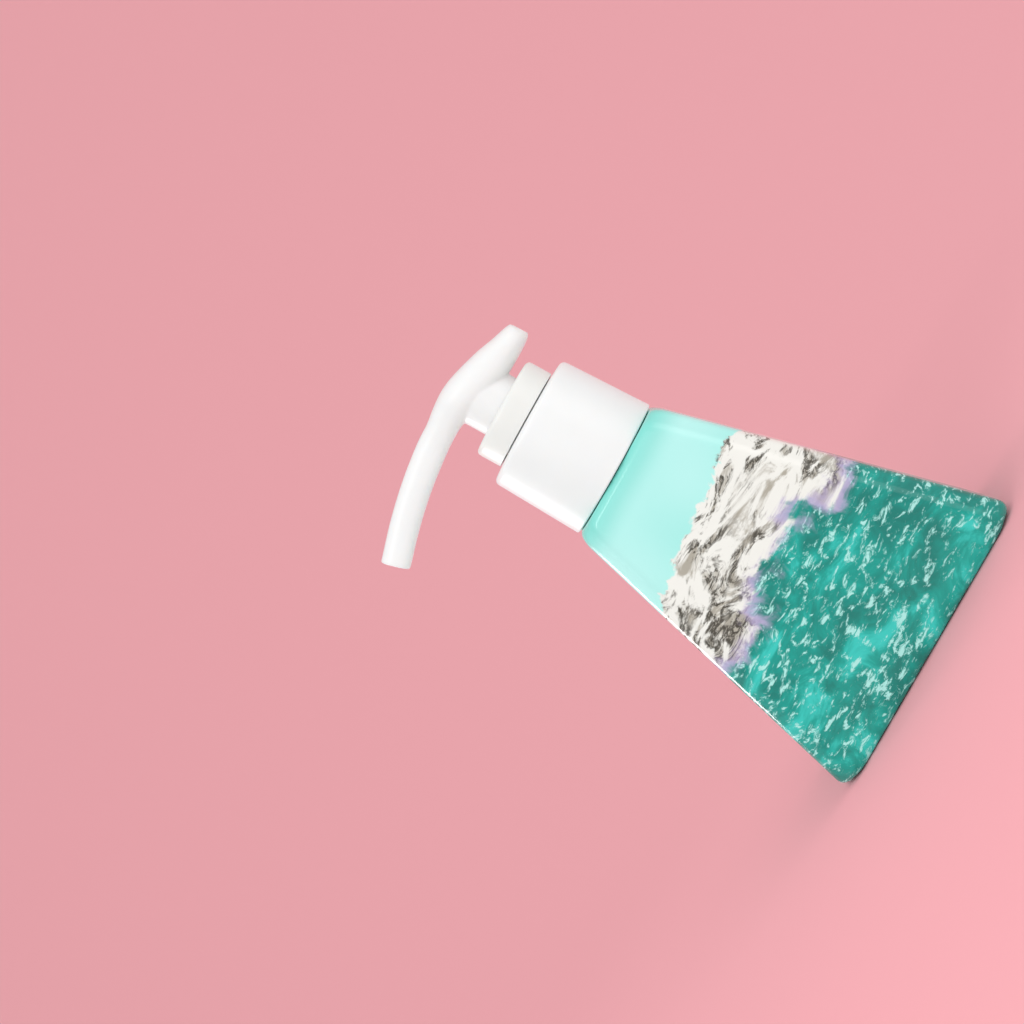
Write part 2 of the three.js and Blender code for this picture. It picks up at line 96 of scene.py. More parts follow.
# A mesh from a grid of points in mm: rows run along the shape, columns across or round it, and
# each cell is one face. Where the columns close into rings, a row that shrinks to a point becomes
# a pole, and the faces are turned outwards.
def gridPiece(name, points, closeRows=False, closeColumns=True):
    rows, columns = points.shape[:2]
    index = np.arange(rows * columns).reshape(rows, columns)
    if closeRows:
        index = np.concatenate([index, index[:1]])
    if closeColumns:
        index = np.concatenate([index, index[:, :1]], axis=1)
    corners = [index[:-1, :-1], index[:-1, 1:], index[1:, 1:], index[1:, :-1]]
    faces = np.stack(corners, axis=-1).reshape(-1, 4)
    mesh = bpy.data.meshes.new(name)
    mesh.from_pydata((points.reshape(-1, 3) * mm).tolist(), [], faces.tolist())
    if closeColumns:
        edit = bmesh.new()
        edit.from_mesh(mesh)
        bmesh.ops.remove_doubles(edit, verts=edit.verts, dist=skinSet["merge"] * mm)
        bmesh.ops.recalc_face_normals(edit, faces=edit.faces)
        edit.to_mesh(mesh)
        edit.free()
    mesh.shade_smooth()
    mesh.set_sharp_from_angle(angle=math.radians(skinSet["sharpAngle"]))
    piece = bpy.data.objects.new(name, mesh)
    bpy.context.scene.collection.objects.link(piece)
    return piece


# Corners [x, y, cut] of a closed outline become one list of points. A corner with a cut becomes
# a quadratic curve that starts that far before it and ends that far after it, and at most
# half-way to the next corner.
def softOutline(corners, steps=6):
    spots = np.array([c[:2] for c in corners], float)
    out = []
    for i, corner in enumerate(corners):
        cut = corner[2] if len(corner) > 2 else 0.0
        if cut == 0.0:
            out.append(spots[i][None])
            continue
        ends = []
        for other in (spots[i - 1], spots[(i + 1) % len(spots)]):
            reach = np.linalg.norm(other - spots[i])
            ends.append(spots[i] + (other - spots[i]) * min(cut / reach, 0.49))
        t = np.linspace(0, 1, steps + 1)[:, None]
        out.append((1 - t) ** 2 * ends[0] + 2 * t * (1 - t) * spots[i] + t ** 2 * ends[1])
    return np.concatenate(out)


# A closed profile of (radius, height) points carried round Z:
# x = radius * cos(angle), y = radius * sin(angle), z = height
def turnedGrid(profile, sides):
    angle = np.linspace(0, 2 * np.pi, sides, endpoint=False)[None, :]
    radius, height = profile[:, :1], profile[:, 1:]
    return np.stack([radius * np.cos(angle), radius * np.sin(angle), height + 0 * angle], axis=-1)


def turnedPiece(name, corners, sides=96, steps=6):
    return gridPiece(name, turnedGrid(softOutline(corners, steps), sides), closeRows=True)


def finishPiece(piece, body, nodes, material):
    piece.data.materials.clear()
    piece.data.materials.append(material)
    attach(piece, body)
    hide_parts(*nodes)


# Colours are written as sRGB hex values and turned to linear here
def linear(hexValue):
    values = [int(hexValue[i:i + 2], 16) / 255 for i in (1, 3, 5)]
    return tuple(v / 12.92 if v <= 0.04045 else ((v + 0.055) / 1.055) ** 2.4 for v in values) + (1.0,)


# Adds one node. Settings are its properties. An input is given by its name, with _ for a space, or
# by its place as i0, i1 and so on; a socket given as a value is linked.
def addNode(tree, kind, settings=None, **inputs):
    node = tree.nodes.new("ShaderNode" + kind)
    for key, value in (settings or {}).items():
        setattr(node, key, value)
    for key, value in inputs.items():
        byPlace = key[0] == "i" and key[1:].isdigit()
        socket = node.inputs[int(key[1:])] if byPlace else node.inputs[key.replace("_", " ")]
        if isinstance(value, bpy.types.NodeSocket):
            tree.links.new(value, socket)
        else:
            socket.default_value = value
    return node


def newMaterial(name):
    material = bpy.data.materials.new(name)
    material.use_nodes = True
    tree = material.node_tree
    tree.nodes.clear()
    shader = addNode(tree, "BsdfPrincipled")
    addNode(tree, "OutputMaterial", Surface=shader.outputs[0])
    place = addNode(tree, "TexCoord").outputs["Object"]
    return material, tree, shader, place


# What the white mouldings share
mouldSet = {
    "cloud": 9.0,                                # size of the patches of tone
    "wave": 6.0, "waveDepth": 0.15,              # size and depth of the slow waves from the mould
    "grain": 0.35, "grainDepth": 0.012,          # and of the finest unevenness
    "glossier": 0.05, "duller": 0.07,            # how far the roughness strays from its mean
    "refraction": 1.49,
    "bleedReach": 1.6, "bleedTint": (1.0, 0.9, 0.8),
}


# Moulded polypropylene: a soft, slightly waxy gloss, light bleeding a little way into the wall,
# a barely uneven surface from the mould, and a faint cloudiness of tone
def mouldedWhite(name, colour, shade, roughness, bleed, **changes):
    s = {**mouldSet, **changes}
    material, tree, shader, place = newMaterial(name)
    cloud = addNode(tree, "TexNoise", Vector=place, Scale=1 / (s["cloud"] * mm), Detail=2.0)
    tone = addNode(tree, "Mix", {"data_type": "RGBA"}, Factor=cloud.outputs["Fac"],
                   i6=linear(colour), i7=linear(shade))
    tree.links.new(tone.outputs[2], shader.inputs["Base Color"])
    fineGrain = addNode(tree, "TexNoise", Vector=place, Scale=1 / (s["grain"] * mm), Detail=3.0)
    gloss = addNode(tree, "MapRange", Value=fineGrain.outputs["Fac"],
                    To_Min=roughness - s["glossier"], To_Max=roughness + s["duller"])
    tree.links.new(gloss.outputs[0], shader.inputs["Roughness"])
    wave = addNode(tree, "TexNoise", Vector=place, Scale=1 / (s["wave"] * mm), Detail=1.0)
    flow = addNode(tree, "Bump", Height=wave.outputs["Fac"], Strength=0.12, Distance=s["waveDepth"] * mm)
    bump = addNode(tree, "Bump", Height=fineGrain.outputs["Fac"], Strength=0.06,
                   Distance=s["grainDepth"] * mm, Normal=flow.outputs[0])
    tree.links.new(bump.outputs[0], shader.inputs["Normal"])
    shader.inputs["IOR"].default_value = s["refraction"]
    shader.inputs["Subsurface Weight"].default_value = bleed
    shader.inputs["Subsurface Radius"].default_value = s["bleedTint"]
    shader.inputs["Subsurface Scale"].default_value = s["bleedReach"] * mm
    return material


headWhite = mouldedWhite("waxyPolypropyleneHead", "#F7F7F6", "#FAFAFA", 0.34, 0.3)
closureWhite = mouldedWhite("mouldedPolypropyleneClosure", "#F6F7F7", "#FAFBFB", 0.3, 0.25)
collarWhite = mouldedWhite("mouldedPolypropyleneCollar", "#F0F0EC", "#F5F5F2", 0.33, 0.25)
innerWhite = mouldedWhite("naturalPolypropyleneInner", "#E8EAE8", "#F0F2F0", 0.38, 0.35)
pistonWhite = mouldedWhite("softPolyethylenePiston", "#E6E8E4", "#EEEFEC", 0.46, 0.35)
tubeNatural = mouldedWhite("extrudedPolyethyleneTube", "#DDE4E2", "#E9EEEC", 0.4, 0.4, grain=0.6)
print("white plastics mixed")


steelSet = {
    "lineStretch": (1.0, 1.0, 0.08),    # a smaller number draws the lines out
    "glossSpread": 0.3,                 # how far the roughness strays, as a share of it
}


# Drawn steel wire and ground balls: bright metal with very fine drawing lines along Z
def drawnSteel(s, name, colour, roughness, lineSpacing):
    material, tree, shader, place = newMaterial(name)
    stretch = addNode(tree, "Mapping", Vector=place, Scale=s["lineStretch"])
    lines = addNode(tree, "TexNoise", Vector=stretch.outputs[0], Scale=1 / (lineSpacing * mm), Detail=2.0)
    gloss = addNode(tree, "MapRange", Value=lines.outputs["Fac"],
                    To_Min=roughness * (1 - s["glossSpread"]), To_Max=roughness * (1 + s["glossSpread"]))
    tree.links.new(gloss.outputs[0], shader.inputs["Roughness"])
    shader.inputs["Base Color"].default_value = linear(colour)
    shader.inputs["Metallic"].default_value = 1.0
    return material


springSteel = drawnSteel(steelSet, "drawnStainlessWire", "#B9BCBF", 0.24, 0.2)
ballSteel = drawnSteel(steelSet, "groundStainlessBall", "#C6C8CA", 0.12, 0.3)


linerSet = {"cell": 0.35, "cellDepth": 0.06, "pitShade": "#DADAD5", "skin": "#F0F0EC"}


# Foamed polyethylene liner: matt and full of tiny cells, whose hollows are painted darker as a painted
# shade
def foamLiner(s):
    material, tree, shader, place = newMaterial("foamedPolyethyleneLiner")
    cells = addNode(tree, "TexVoronoi", Vector=place, Scale=1 / (s["cell"] * mm))
    # the darker tone at each cell's middle, where the bump sinks, is painted shade
    tone = addNode(tree, "Mix", {"data_type": "RGBA"}, Factor=cells.outputs["Distance"],
                   i6=linear(s["pitShade"]), i7=linear(s["skin"]))
    tree.links.new(tone.outputs[2], shader.inputs["Base Color"])
    bump = addNode(tree, "Bump", Height=cells.outputs["Distance"], Strength=0.5,
                   Distance=s["cellDepth"] * mm)
    tree.links.new(bump.outputs[0], shader.inputs["Normal"])
    shader.inputs["Roughness"].default_value = 0.75
    return material


pasteSet = {
    "streak": 7.0, "streakDepth": 0.5, "streakStretch": (1.0, 1.0, 0.3),
    "pink": "#F0B9C6", "pale": "#FADCE2",
    "bleedReach": 2.5,
}


# Toothpaste: a smooth, wet, slightly see-through pink gel-paste with faint flow streaks
def pastePink(s):
    material, tree, shader, place = newMaterial("wetPinkPaste")
    stretch = addNode(tree, "Mapping", Vector=place, Scale=s["streakStretch"])
    streak = addNode(tree, "TexNoise", Vector=stretch.outputs[0], Scale=1 / (s["streak"] * mm), Detail=4.0)
    tone = addNode(tree, "Mix", {"data_type": "RGBA"}, Factor=streak.outputs["Fac"],
                   i6=linear(s["pink"]), i7=linear(s["pale"]))
    tree.links.new(tone.outputs[2], shader.inputs["Base Color"])
    bump = addNode(tree, "Bump", Height=streak.outputs["Fac"], Strength=0.4,
                   Distance=s["streakDepth"] * mm)
    tree.links.new(bump.outputs[0], shader.inputs["Normal"])
    shader.inputs["Roughness"].default_value = 0.28
    shader.inputs["Subsurface Weight"].default_value = 0.4
    shader.inputs["Subsurface Scale"].default_value = s["bleedReach"] * mm
    return material


liner = foamLiner(linerSet)
paste = pastePink(pasteSet)


# The bottle's print, all round: clear aqua above, a band of pale marbled swell with charcoal veins,
# a lilac mist along its foot, and deep teal with pale flecks below. Heights are in mm from the base.
printSet = {
    "crest": 66.0,          # mean height where the aqua ends
    "crestWave": 62.0,      # how strongly that edge rises and falls
    "crestBreak": 15.0,     # and how strongly its small ripples do
    "foot": 47.0,           # mean height where the teal begins
    "footWave": 46.0,
    "footBreak": 22.0,
    # the two other aqua tones are a painted shade and a painted sheen laid over the printed aqua
    "aqua": "#A6F1E9", "aquaPaintedShade": "#86E3D8", "aquaPaintedSheen": "#C4FBF6",
    "cream": "#F8F6F0", "warmGrey": "#B5AEA1", "charcoal": "#4A463D",
    "lilac": "#C4B4DE",
    "teal": "#00A698", "tealDeep": "#008075", "tealLight": "#35CFC4", "fleck": "#B4EFE8",
    "ripple": 18.0, "rippleDepth": 0.5,      # size and depth of the blown wall's slow ripple
    "grain": 0.5, "glossiest": 0.16, "dullest": 0.21,
}

# The noises that the print is made of: size in mm, detail, roughness, distortion, the stretch of the
# pattern along X, Y and Z (a smaller number draws it out), and where it starts
printNoises = {
    "slow": (58.0, 1.0, 0.5, 0.0, (1, 1, 0.3), (31, 7, 0)),
    "slowFoot": (44.0, 1.0, 0.5, 0.0, (1, 1, 0.25), (3, 40, 9)),
    "ragged": (9.0, 6.0, 0.6, 0.3, (1, 1, 0.8), (4, 0, 0)),
    # this noise lays out the pale patches of painted sheen on the aqua
    "paintedSheen": (46.0, 1.0, 0.5, 0.0, (1, 1, 1), (12, 0, 20)),
    "flow": (11.0, 7.0, 0.62, 1.6, (0.6, 0.6, 1.5), (5, 5, 0)),
    "cluster": (17.0, 2.0, 0.5, 0.8, (0.8, 0.8, 1.2), (9, 2, 6)),
    "veins": (5.0, 8.0, 0.7, 1.1, (0.6, 0.6, 1.7), (0, 9, 3)),
    "depth": (13.0, 6.0, 0.62, 0.9, (0.7, 0.7, 1.2), (0, 3, 8)),
    "flecks": (2.5, 8.0, 0.72, 0.5, (0.6, 0.6, 1.4), (7, 0, 2)),
}

# Where each blend of the print begins and ends: in mm for upper, crestLine, footLine and mistBand,
# and else as a value of the noise that drives it
printBlends = {
    # the first two blends place the aqua's painted sheen and its painted shade towards the shoulder
    "paintedSheen": (0.35, 0.65), "upper": (93.0, 83.0),
    "grey": (0.47, 0.62), "vein": (0.075, 0.015), "veinGround": (0.46, 0.56), "cluster": (0.37, 0.5),
    "middle": (0.36, 0.6), "bright": (0.53, 0.68), "fleck": (0.53, 0.61),
    "crestLine": (-0.4, 0.4), "footLine": (-1.5, 1.5), "mistBand": (5.0, 0.0), "mist": (0.4, 0.56),
}


# Printed polyethylene bottle: full gloss over the print, a slow ripple of the blown wall
def printedBottle(s, noises, blends):
    material, tree, shader, place = newMaterial("printedGlossPolyethylene")
    inMm = addNode(tree, "VectorMath", {"operation": "SCALE"}, i0=place, Scale=1 / mm).outputs[0]
    height = addNode(tree, "SeparateXYZ", Vector=inMm).outputs["Z"]
    tone = {key: linear(value) for key, value in s.items() if isinstance(value, str)}
    reach = {key: {"From_Min": first, "From_Max": last} for key, (first, last) in blends.items()}
    blend = {"data_type": "RGBA"}
    soft = {"interpolation_type": "SMOOTHSTEP"}
    less = {"operation": "SUBTRACT"}
    times = {"operation": "MULTIPLY"}
    timesPlus = {"operation": "MULTIPLY_ADD"}
    size = {"operation": "ABSOLUTE"}

    field = {}
    for key, (spacing, detail, rough, distortion, stretch, start) in noises.items():
        mapped = addNode(tree, "Mapping", Vector=inMm, Scale=stretch, Location=start).outputs[0]
        field[key] = addNode(tree, "TexNoise", Vector=mapped, Scale=1 / spacing, Detail=detail,
                             Roughness=rough, Distortion=distortion).outputs["Fac"]

    # edges of the swell: height = mean + wave * (slow - 0.5) + break * (ragged - 0.5)
    edges = {}
    for edge, slow in (("crest", "slow"), ("foot", "slowFoot")):
        wave = addNode(tree, "Math", less, i0=field[slow], i1=0.5).outputs[0]
        ripple = addNode(tree, "Math", less, i0=field["ragged"], i1=0.5).outputs[0]
        mean = addNode(tree, "Math", timesPlus, i0=wave, i1=s[edge + "Wave"], i2=s[edge]).outputs[0]
        edges[edge] = addNode(tree, "Math", timesPlus, i0=ripple, i1=s[edge + "Break"],
                              i2=mean).outputs[0]

    # aqua ground: a painted sheen, paler in slow patches, and a painted shade, deeper towards the shoulder
    patch = addNode(tree, "MapRange", soft, Value=field["paintedSheen"], **reach["paintedSheen"]).outputs[0]
    aqua = addNode(tree, "Mix", blend, Factor=patch, i6=tone["aqua"], i7=tone["aquaPaintedSheen"]).outputs[2]
    upper = addNode(tree, "MapRange", soft, Value=height, **reach["upper"]).outputs[0]
    aqua = addNode(tree, "Mix", blend, Factor=upper, i6=tone["aquaPaintedShade"], i7=aqua).outputs[2]

    # the swell: cream, warm grey flow patches, and charcoal veins gathered in the darker patches
    grey = addNode(tree, "MapRange", soft, Value=field["flow"], **reach["grey"]).outputs[0]
    swell = addNode(tree, "Mix", blend, Factor=grey, i6=tone["cream"], i7=tone["warmGrey"]).outputs[2]
    fromMiddle = addNode(tree, "Math", less, i0=field["veins"], i1=0.5).outputs[0]
    ridge = addNode(tree, "Math", size, i0=fromMiddle).outputs[0]
    vein = addNode(tree, "MapRange", soft, Value=ridge, **reach["vein"]).outputs[0]
    dark = addNode(tree, "MapRange", soft, Value=field["flow"], **reach["veinGround"]).outputs[0]
    gathered = addNode(tree, "MapRange", soft, Value=field["cluster"], **reach["cluster"]).outputs[0]
    veinHere = addNode(tree, "Math", times, i0=vein, i1=dark).outputs[0]
    veinHere = addNode(tree, "Math", times, i0=veinHere, i1=gathered).outputs[0]
    swell = addNode(tree, "Mix", blend, Factor=veinHere, i6=swell, i7=tone["charcoal"]).outputs[2]

    # the water: deep and light teal, with broken pale flecks
    middle = addNode(tree, "MapRange", soft, Value=field["depth"], **reach["middle"]).outputs[0]
    water = addNode(tree, "Mix", blend, Factor=middle, i6=tone["tealDeep"], i7=tone["teal"]).outputs[2]
    bright = addNode(tree, "MapRange", soft, Value=field["depth"], **reach["bright"]).outputs[0]
    water = addNode(tree, "Mix", blend, Factor=bright, i6=water, i7=tone["tealLight"]).outputs[2]
    fleck = addNode(tree, "MapRange", soft, Value=field["flecks"], **reach["fleck"]).outputs[0]
    water = addNode(tree, "Mix", blend, Factor=fleck, i6=water, i7=tone["fleck"]).outputs[2]

    # the fields one over another, with the mist over the foot edge
    underCrest = addNode(tree, "Math", less, i0=edges["crest"], i1=height).outputs[0]
    inSwell = addNode(tree, "MapRange", soft, Value=underCrest, **reach["crestLine"]).outputs[0]
    colour = addNode(tree, "Mix", blend, Factor=inSwell, i6=aqua, i7=swell).outputs[2]
    underFoot = addNode(tree, "Math", less, i0=edges["foot"], i1=height).outputs[0]
    inWater = addNode(tree, "MapRange", soft, Value=underFoot, **reach["footLine"]).outputs[0]
    colour = addNode(tree, "Mix", blend, Factor=inWater, i6=colour, i7=water).outputs[2]
    footGap = addNode(tree, "Math", size, i0=underFoot).outputs[0]
    band = addNode(tree, "MapRange", soft, Value=footGap, **reach["mistBand"]).outputs[0]
    cover = addNode(tree, "MapRange", soft, Value=field["flow"], **reach["mist"], To_Max=0.8).outputs[0]
    mist = addNode(tree, "Math", times, i0=band, i1=cover).outputs[0]
    colour = addNode(tree, "Mix", blend, Factor=mist, i6=colour, i7=tone["lilac"]).outputs[2]
    tree.links.new(colour, shader.inputs["Base Color"])

    ripple = addNode(tree, "TexNoise", Vector=place, Scale=1 / (s["ripple"] * mm), Detail=1.0)
    bump = addNode(tree, "Bump", Height=ripple.outputs["Fac"], Strength=0.15,
                   Distance=s["rippleDepth"] * mm)
    tree.links.new(bump.outputs[0], shader.inputs["Normal"])
    grain = addNode(tree, "TexNoise", Vector=place, Scale=1 / (s["grain"] * mm), Detail=2.0)
    gloss = addNode(tree, "MapRange", Value=grain.outputs["Fac"],
                    To_Min=s["glossiest"], To_Max=s["dullest"])
    tree.links.new(gloss.outputs[0], shader.inputs["Roughness"])
    shader.inputs["IOR"].default_value = 1.46
    shader.inputs["Coat Weight"].default_value = 0.1
    shader.inputs["Coat Roughness"].default_value = 0.05
    return material


bottleGloss = printedBottle(printSet, printNoises, printBlends)
print("bottle print laid out")


# The thread: the ridge's middle climbs one pitch a turn from the foot, its flanks are straight
# lines from the root's half-width to the crest's, and both ends fade out. Gives a height field
# over angle and height, from 0 on the wall to 1 on the crest.
threadSet = {
    "pitch": 4.23, "turns": 1.5, "depth": 1.2, "rootHalf": 0.95, "crestHalf": 0.45,
    "topMargin": 3.2,       # plain neck between the rim and the thread
    "fade": 0.06,           # share of its length over which each end fades out
    "rowStep": 0.16, "rowMargin": 1.2, "rimMargin": 1.0,
}


def threadField(s, angle, height, foot):
    best = np.zeros(np.broadcast(angle, height).shape)
    for lap in range(math.ceil(s["turns"]) + 1):
        turned = angle / (2 * np.pi) + lap
        along = turned / s["turns"]
        away = np.abs(height - foot - turned * s["pitch"])
        flank = np.clip((s["rootHalf"] - away) / (s["rootHalf"] - s["crestHalf"]), 0, 1)
        fade = np.clip(np.minimum(along, 1 - along) / s["fade"], 0, 1)
        best = np.maximum(best, flank * fade)
    return best


bottleSet = {
    "baseWidth": 85.5, "baseDepth": 54.0, "shoulderWidth": 39.3, "shoulderDepth": 38.4,
    "bevel": 4.6, "bevelRounding": 2.0, "heel": 4.0, "shoulderDrop": 4.2, "shoulderPull": 1.6,
    "wall": 1.2, "neckRadius": 15.1, "neckWall": 1.7, "neckHeight": 21.3,
    "neckRoot": 0.7, "rimRounding": 0.5, "beadRise": 4.5, "beadHeight": 1.8, "beadReach": 1.1,
    "seamHeight": 0.07, "seamHalf": 0.35,
    "innerBevelShare": 0.6,             # how much narrower the bevel gets per mm of inset
    "planSteps": (10, 7, 6, 7, 12),     # points on the side, curve, bevel, curve and front of a quarter
    "arcSteps": 10, "sideSteps": 25, "beadSteps": 8, "edgeSteps": 5,
}


# One quarter of the plan from the +X side to the +Y side: straight, curve, bevel, curve, straight,
# as columns; the four quarters follow by mirroring in X and Y
def planRows(s, halfWidth, halfDepth, bevel):
    cut = s["bevelRounding"]
    side = np.stack([halfWidth, halfWidth, halfWidth - bevel, 0 * halfWidth], axis=-1)
    front = np.stack([0 * halfWidth, halfDepth - bevel, halfDepth, halfDepth], axis=-1)
    spots = np.stack([side, front], axis=-1)
    toward = spots[:, 2] - spots[:, 1]
    toward /= np.linalg.norm(toward, axis=-1, keepdims=True)
    startA, endA = spots[:, 1] - [0, cut], spots[:, 1] + toward * cut
    startB, endB = spots[:, 2] - toward * cut, spots[:, 2] - [cut, 0]

    def straight(a, b, n):
        t = np.linspace(0, 1, n, endpoint=False)[None, :, None]
        return a[:, None] * (1 - t) + b[:, None] * t

    def curve(a, c, b, n):
        t = np.linspace(0, 1, n, endpoint=False)[None, :, None]
        return a[:, None] * (1 - t) ** 2 + 2 * t * (1 - t) * c[:, None] + b[:, None] * t ** 2

    onSide, onCurveA, onBevel, onCurveB, onFront = s["planSteps"]
    quarter = np.concatenate([
        straight(spots[:, 0], startA, onSide),
        curve(startA, spots[:, 1], endA, onCurveA),
        straight(endA, startB, onBevel),
        curve(startB, spots[:, 2], endB, onCurveB),
        straight(endB, spots[:, 3], onFront),
        spots[:, 3:4],
    ], axis=1)
    mirrored = quarter[:, ::-1] * [-1, 1]
    return np.concatenate([
        quarter[:, :-1], mirrored[:, :-1], -quarter[:, :-1], -mirrored[:, :-1],
    ], axis=1)


# The stations of the body: height and pull-in from the tapered side, a quarter circle at the heel,
# even steps up the side and a quarter ellipse at the shoulder
def bodyRows(s, height, inset):
    arc = np.linspace(0, np.pi / 2, s["arcSteps"] + 1)
    heel = np.stack([s["heel"] * (1 - np.cos(arc)), s["heel"] * (1 - np.sin(arc))], axis=-1)
    upSide = np.linspace(s["heel"], height - s["shoulderDrop"], s["sideSteps"] + 1)[1:-1]
    side = np.stack([upSide, np.zeros(len(upSide))], axis=-1)
    shoulder = np.stack([
        height - s["shoulderDrop"] * (1 - np.sin(arc)), s["shoulderPull"] * (1 - np.cos(arc)),
    ], axis=-1)
    rows = np.concatenate([heel, side, shoulder])
    share = rows[:, 0] / height
    halfWidth = (s["baseWidth"] * (1 - share) + s["shoulderWidth"] * share) / 2 - rows[:, 1] - inset
    halfDepth = (s["baseDepth"] * (1 - share) + s["shoulderDepth"] * share) / 2 - rows[:, 1] - inset
    plan = planRows(s, halfWidth, halfDepth, s["bevel"] - s["innerBevelShare"] * inset)
    z = inset + rows[:, 0] * (height - 2 * inset) / height
    return plan, z


# The bottle as one closed skin: base, heel, tapered side, shoulder, neck with bead and thread, then
# back down inside the neck and the wall to the floor
def bottleGrid(s, t, neckTop):
    height = neckTop - s["neckHeight"]
    outer, outerZ = bodyRows(s, height, 0.0)
    inner, innerZ = bodyRows(s, height, s["wall"])
    angle = np.arctan2(outer[-1, :, 1], outer[-1, :, 0])
    circle = np.stack([np.cos(angle), np.sin(angle)], axis=-1)

    # the mould's parting line stands up where the narrow sides cross the XZ plane
    seam = np.exp(-(outer[:, :, 1] / s["seamHalf"]) ** 2)
    outer = outer + seam[..., None] * np.sign(outer) * [s["seamHeight"], 0]

    def rowsOf(plan, z):
        return np.concatenate([plan, np.broadcast_to(z[:, None, None], plan.shape[:2] + (1,))], axis=-1)

    def between(a, b, z, n):
        share = np.linspace(0, 1, n + 2)[1:-1, None, None]
        return rowsOf(a * (1 - share) + b * share, np.full(n, z))

    root = s["neckRoot"]
    half = np.linspace(0, np.pi, s["beadSteps"] + 1)
    bead = s["beadRise"] + s["beadHeight"] * (1 - np.cos(half)) / 2
    beadOut = s["beadReach"] * np.sin(half)
    threadFoot = neckTop - t["topMargin"] - t["turns"] * t["pitch"]
    arc = np.linspace(0, np.pi / 2, s["edgeSteps"] + 1)
    footZ = height + root * (1 - np.cos(arc))
    footR = s["neckRadius"] + root * (1 - np.sin(arc))
    threadZ = np.arange(threadFoot - t["rowMargin"], neckTop - t["rimMargin"], t["rowStep"])
    rim = s["rimRounding"]
    rimZ = neckTop - rim + rim * np.sin(arc)
    rimR = s["neckRadius"] - rim + rim * np.cos(arc)
    threadR = np.full(len(threadZ), s["neckRadius"])
    neckZ = np.concatenate([footZ, height + bead, threadZ, rimZ])
    neckR = np.concatenate([footR, s["neckRadius"] + beadOut, threadR, rimR])
    ridge = threadField(t, np.mod(angle, 2 * np.pi)[None, :], neckZ[:, None], threadFoot) * t["depth"]
    neck = rowsOf(circle[None] * (neckR[:, None] + ridge)[..., None], neckZ)

    bore = s["neckRadius"] - s["neckWall"]
    boreZ = np.array([neckTop, height - s["wall"]])
    boreRows = rowsOf(np.broadcast_to(circle[None] * bore, (2,) + circle.shape), boreZ)
    centre = np.zeros_like(outer[:1])
    # rings of points over the base, the shoulder's flat and its inner side keep the faces small
    return np.concatenate([
        rowsOf(centre, np.array([0.0])),
        between(centre[0], outer[0], 0.0, 5),
        rowsOf(outer, outerZ),
        between(outer[-1], circle * footR[0], height, 3),
        neck,
        boreRows,
        between(circle * bore, inner[-1], height - s["wall"], 2),
        rowsOf(inner[::-1], innerZ[::-1]),
        rowsOf(centre, np.array([s["wall"]])),
    ])


neckTop = boxOf("bottle")[1][2]
bottle = gridPiece("bottle_shell", bottleGrid(bottleSet, threadSet, neckTop))
finishPiece(bottle, "bottle", ["bottle"], bottleGloss)
print("bottle blown")

# Closure: a smooth conical skirt with rounded foot and shoulder, a crowned top with a hole,
# a bore with the mating thread and a wider foot
closureSet = {
    "wall": 2.1, "flare": 0.95, "panel": 1.6, "crown": 0.5, "topEdge": 1.7, "footEdge": 0.6,
    "reliefHeight": 11.0, "reliefDepth": 1.1, "boreGap": 0.35, "holeRadius": 10.75, "seatGap": 0.35,
    "footDrop": 0.25,       # how much nearer the foot comes to the shoulder than in the solid
    "footInner": 0.3, "boreTop": 0.6,                       # roundings inside
    "holeRim": 1.0, "holeRimDrop": 0.05, "holeRimEdge": 0.8, "holeEdge": 0.2,
    "rowMargin": 1.0, "sides": 160, "edgeSteps": 8,
}


def closureGrid(s, t, b, neckTop):
    low, high = boxOf("closure")
    foot, top = low[2] - s["footDrop"], high[2]
    bore = b["neckRadius"] + t["depth"] + s["boreGap"]
    side, panelFoot = bore + s["wall"], top - s["panel"]
    outline = softOutline([
        [bore + s["reliefDepth"], foot, s["footInner"]],
        [side + s["flare"], foot, s["footEdge"]],
        [side, top - s["crown"], s["topEdge"]],
        [s["holeRadius"] + s["holeRim"], top, s["holeRimEdge"]],
        [s["holeRadius"], top - s["holeRimDrop"], s["holeEdge"]],
        [s["holeRadius"], panelFoot, s["holeEdge"]],
        [bore, panelFoot, s["boreTop"]],
    ], s["edgeSteps"])
    boreZ = np.arange(panelFoot - s["rowMargin"], foot + s["reliefHeight"], -t["rowStep"])
    boreLine = np.stack([np.full(len(boreZ), bore), boreZ], axis=-1)
    relief = np.array([[bore, foot + s["reliefHeight"]],
                       [bore + s["reliefDepth"], foot + s["reliefHeight"] - s["reliefDepth"]]])
    profile = np.concatenate([outline, boreLine, relief])
    grid = turnedGrid(profile, s["sides"])
    angle = np.linspace(0, 2 * np.pi, s["sides"], endpoint=False)[None, :]
    flank = (t["rootHalf"] - t["crestHalf"]) / t["depth"]
    drop = 2 * t["rootHalf"] - flank * (bore - b["neckRadius"]) + s["seatGap"]
    threadFoot = neckTop - t["topMargin"] - t["turns"] * t["pitch"] - drop
    onBore = np.isclose(profile[:, :1], bore)
    ridge = threadField(t, angle, profile[:, 1:], threadFoot) * onBore
    radius = profile[:, :1] - ridge * t["depth"]
    grid[..., 0] = radius * np.cos(angle)
    grid[..., 1] = radius * np.sin(angle)
    return grid


closurePoints = closureGrid(closureSet, threadSet, bottleSet, neckTop)
closure = gridPiece("screw_closure", closurePoints, closeRows=True)
finishPiece(closure, "closure", ["closure"], closureWhite)

# Collar: a hollow ring over the closure with a hub and a guide sleeve that reach down inside
collarSet = {
    "shell": 1.4, "edge": 1.5, "hubWall": 1.5, "hubFloor": 1.4, "guideLength": 4.1, "guideRadius": 5.5,
    "bore": 8.95, "stemHole": 3.8, "footGap": 0.15, "sides": 128,
    "mouth": 0.35, "under": 0.4, "soft": 0.3, "fine": 0.2,      # roundings of the other edges
}


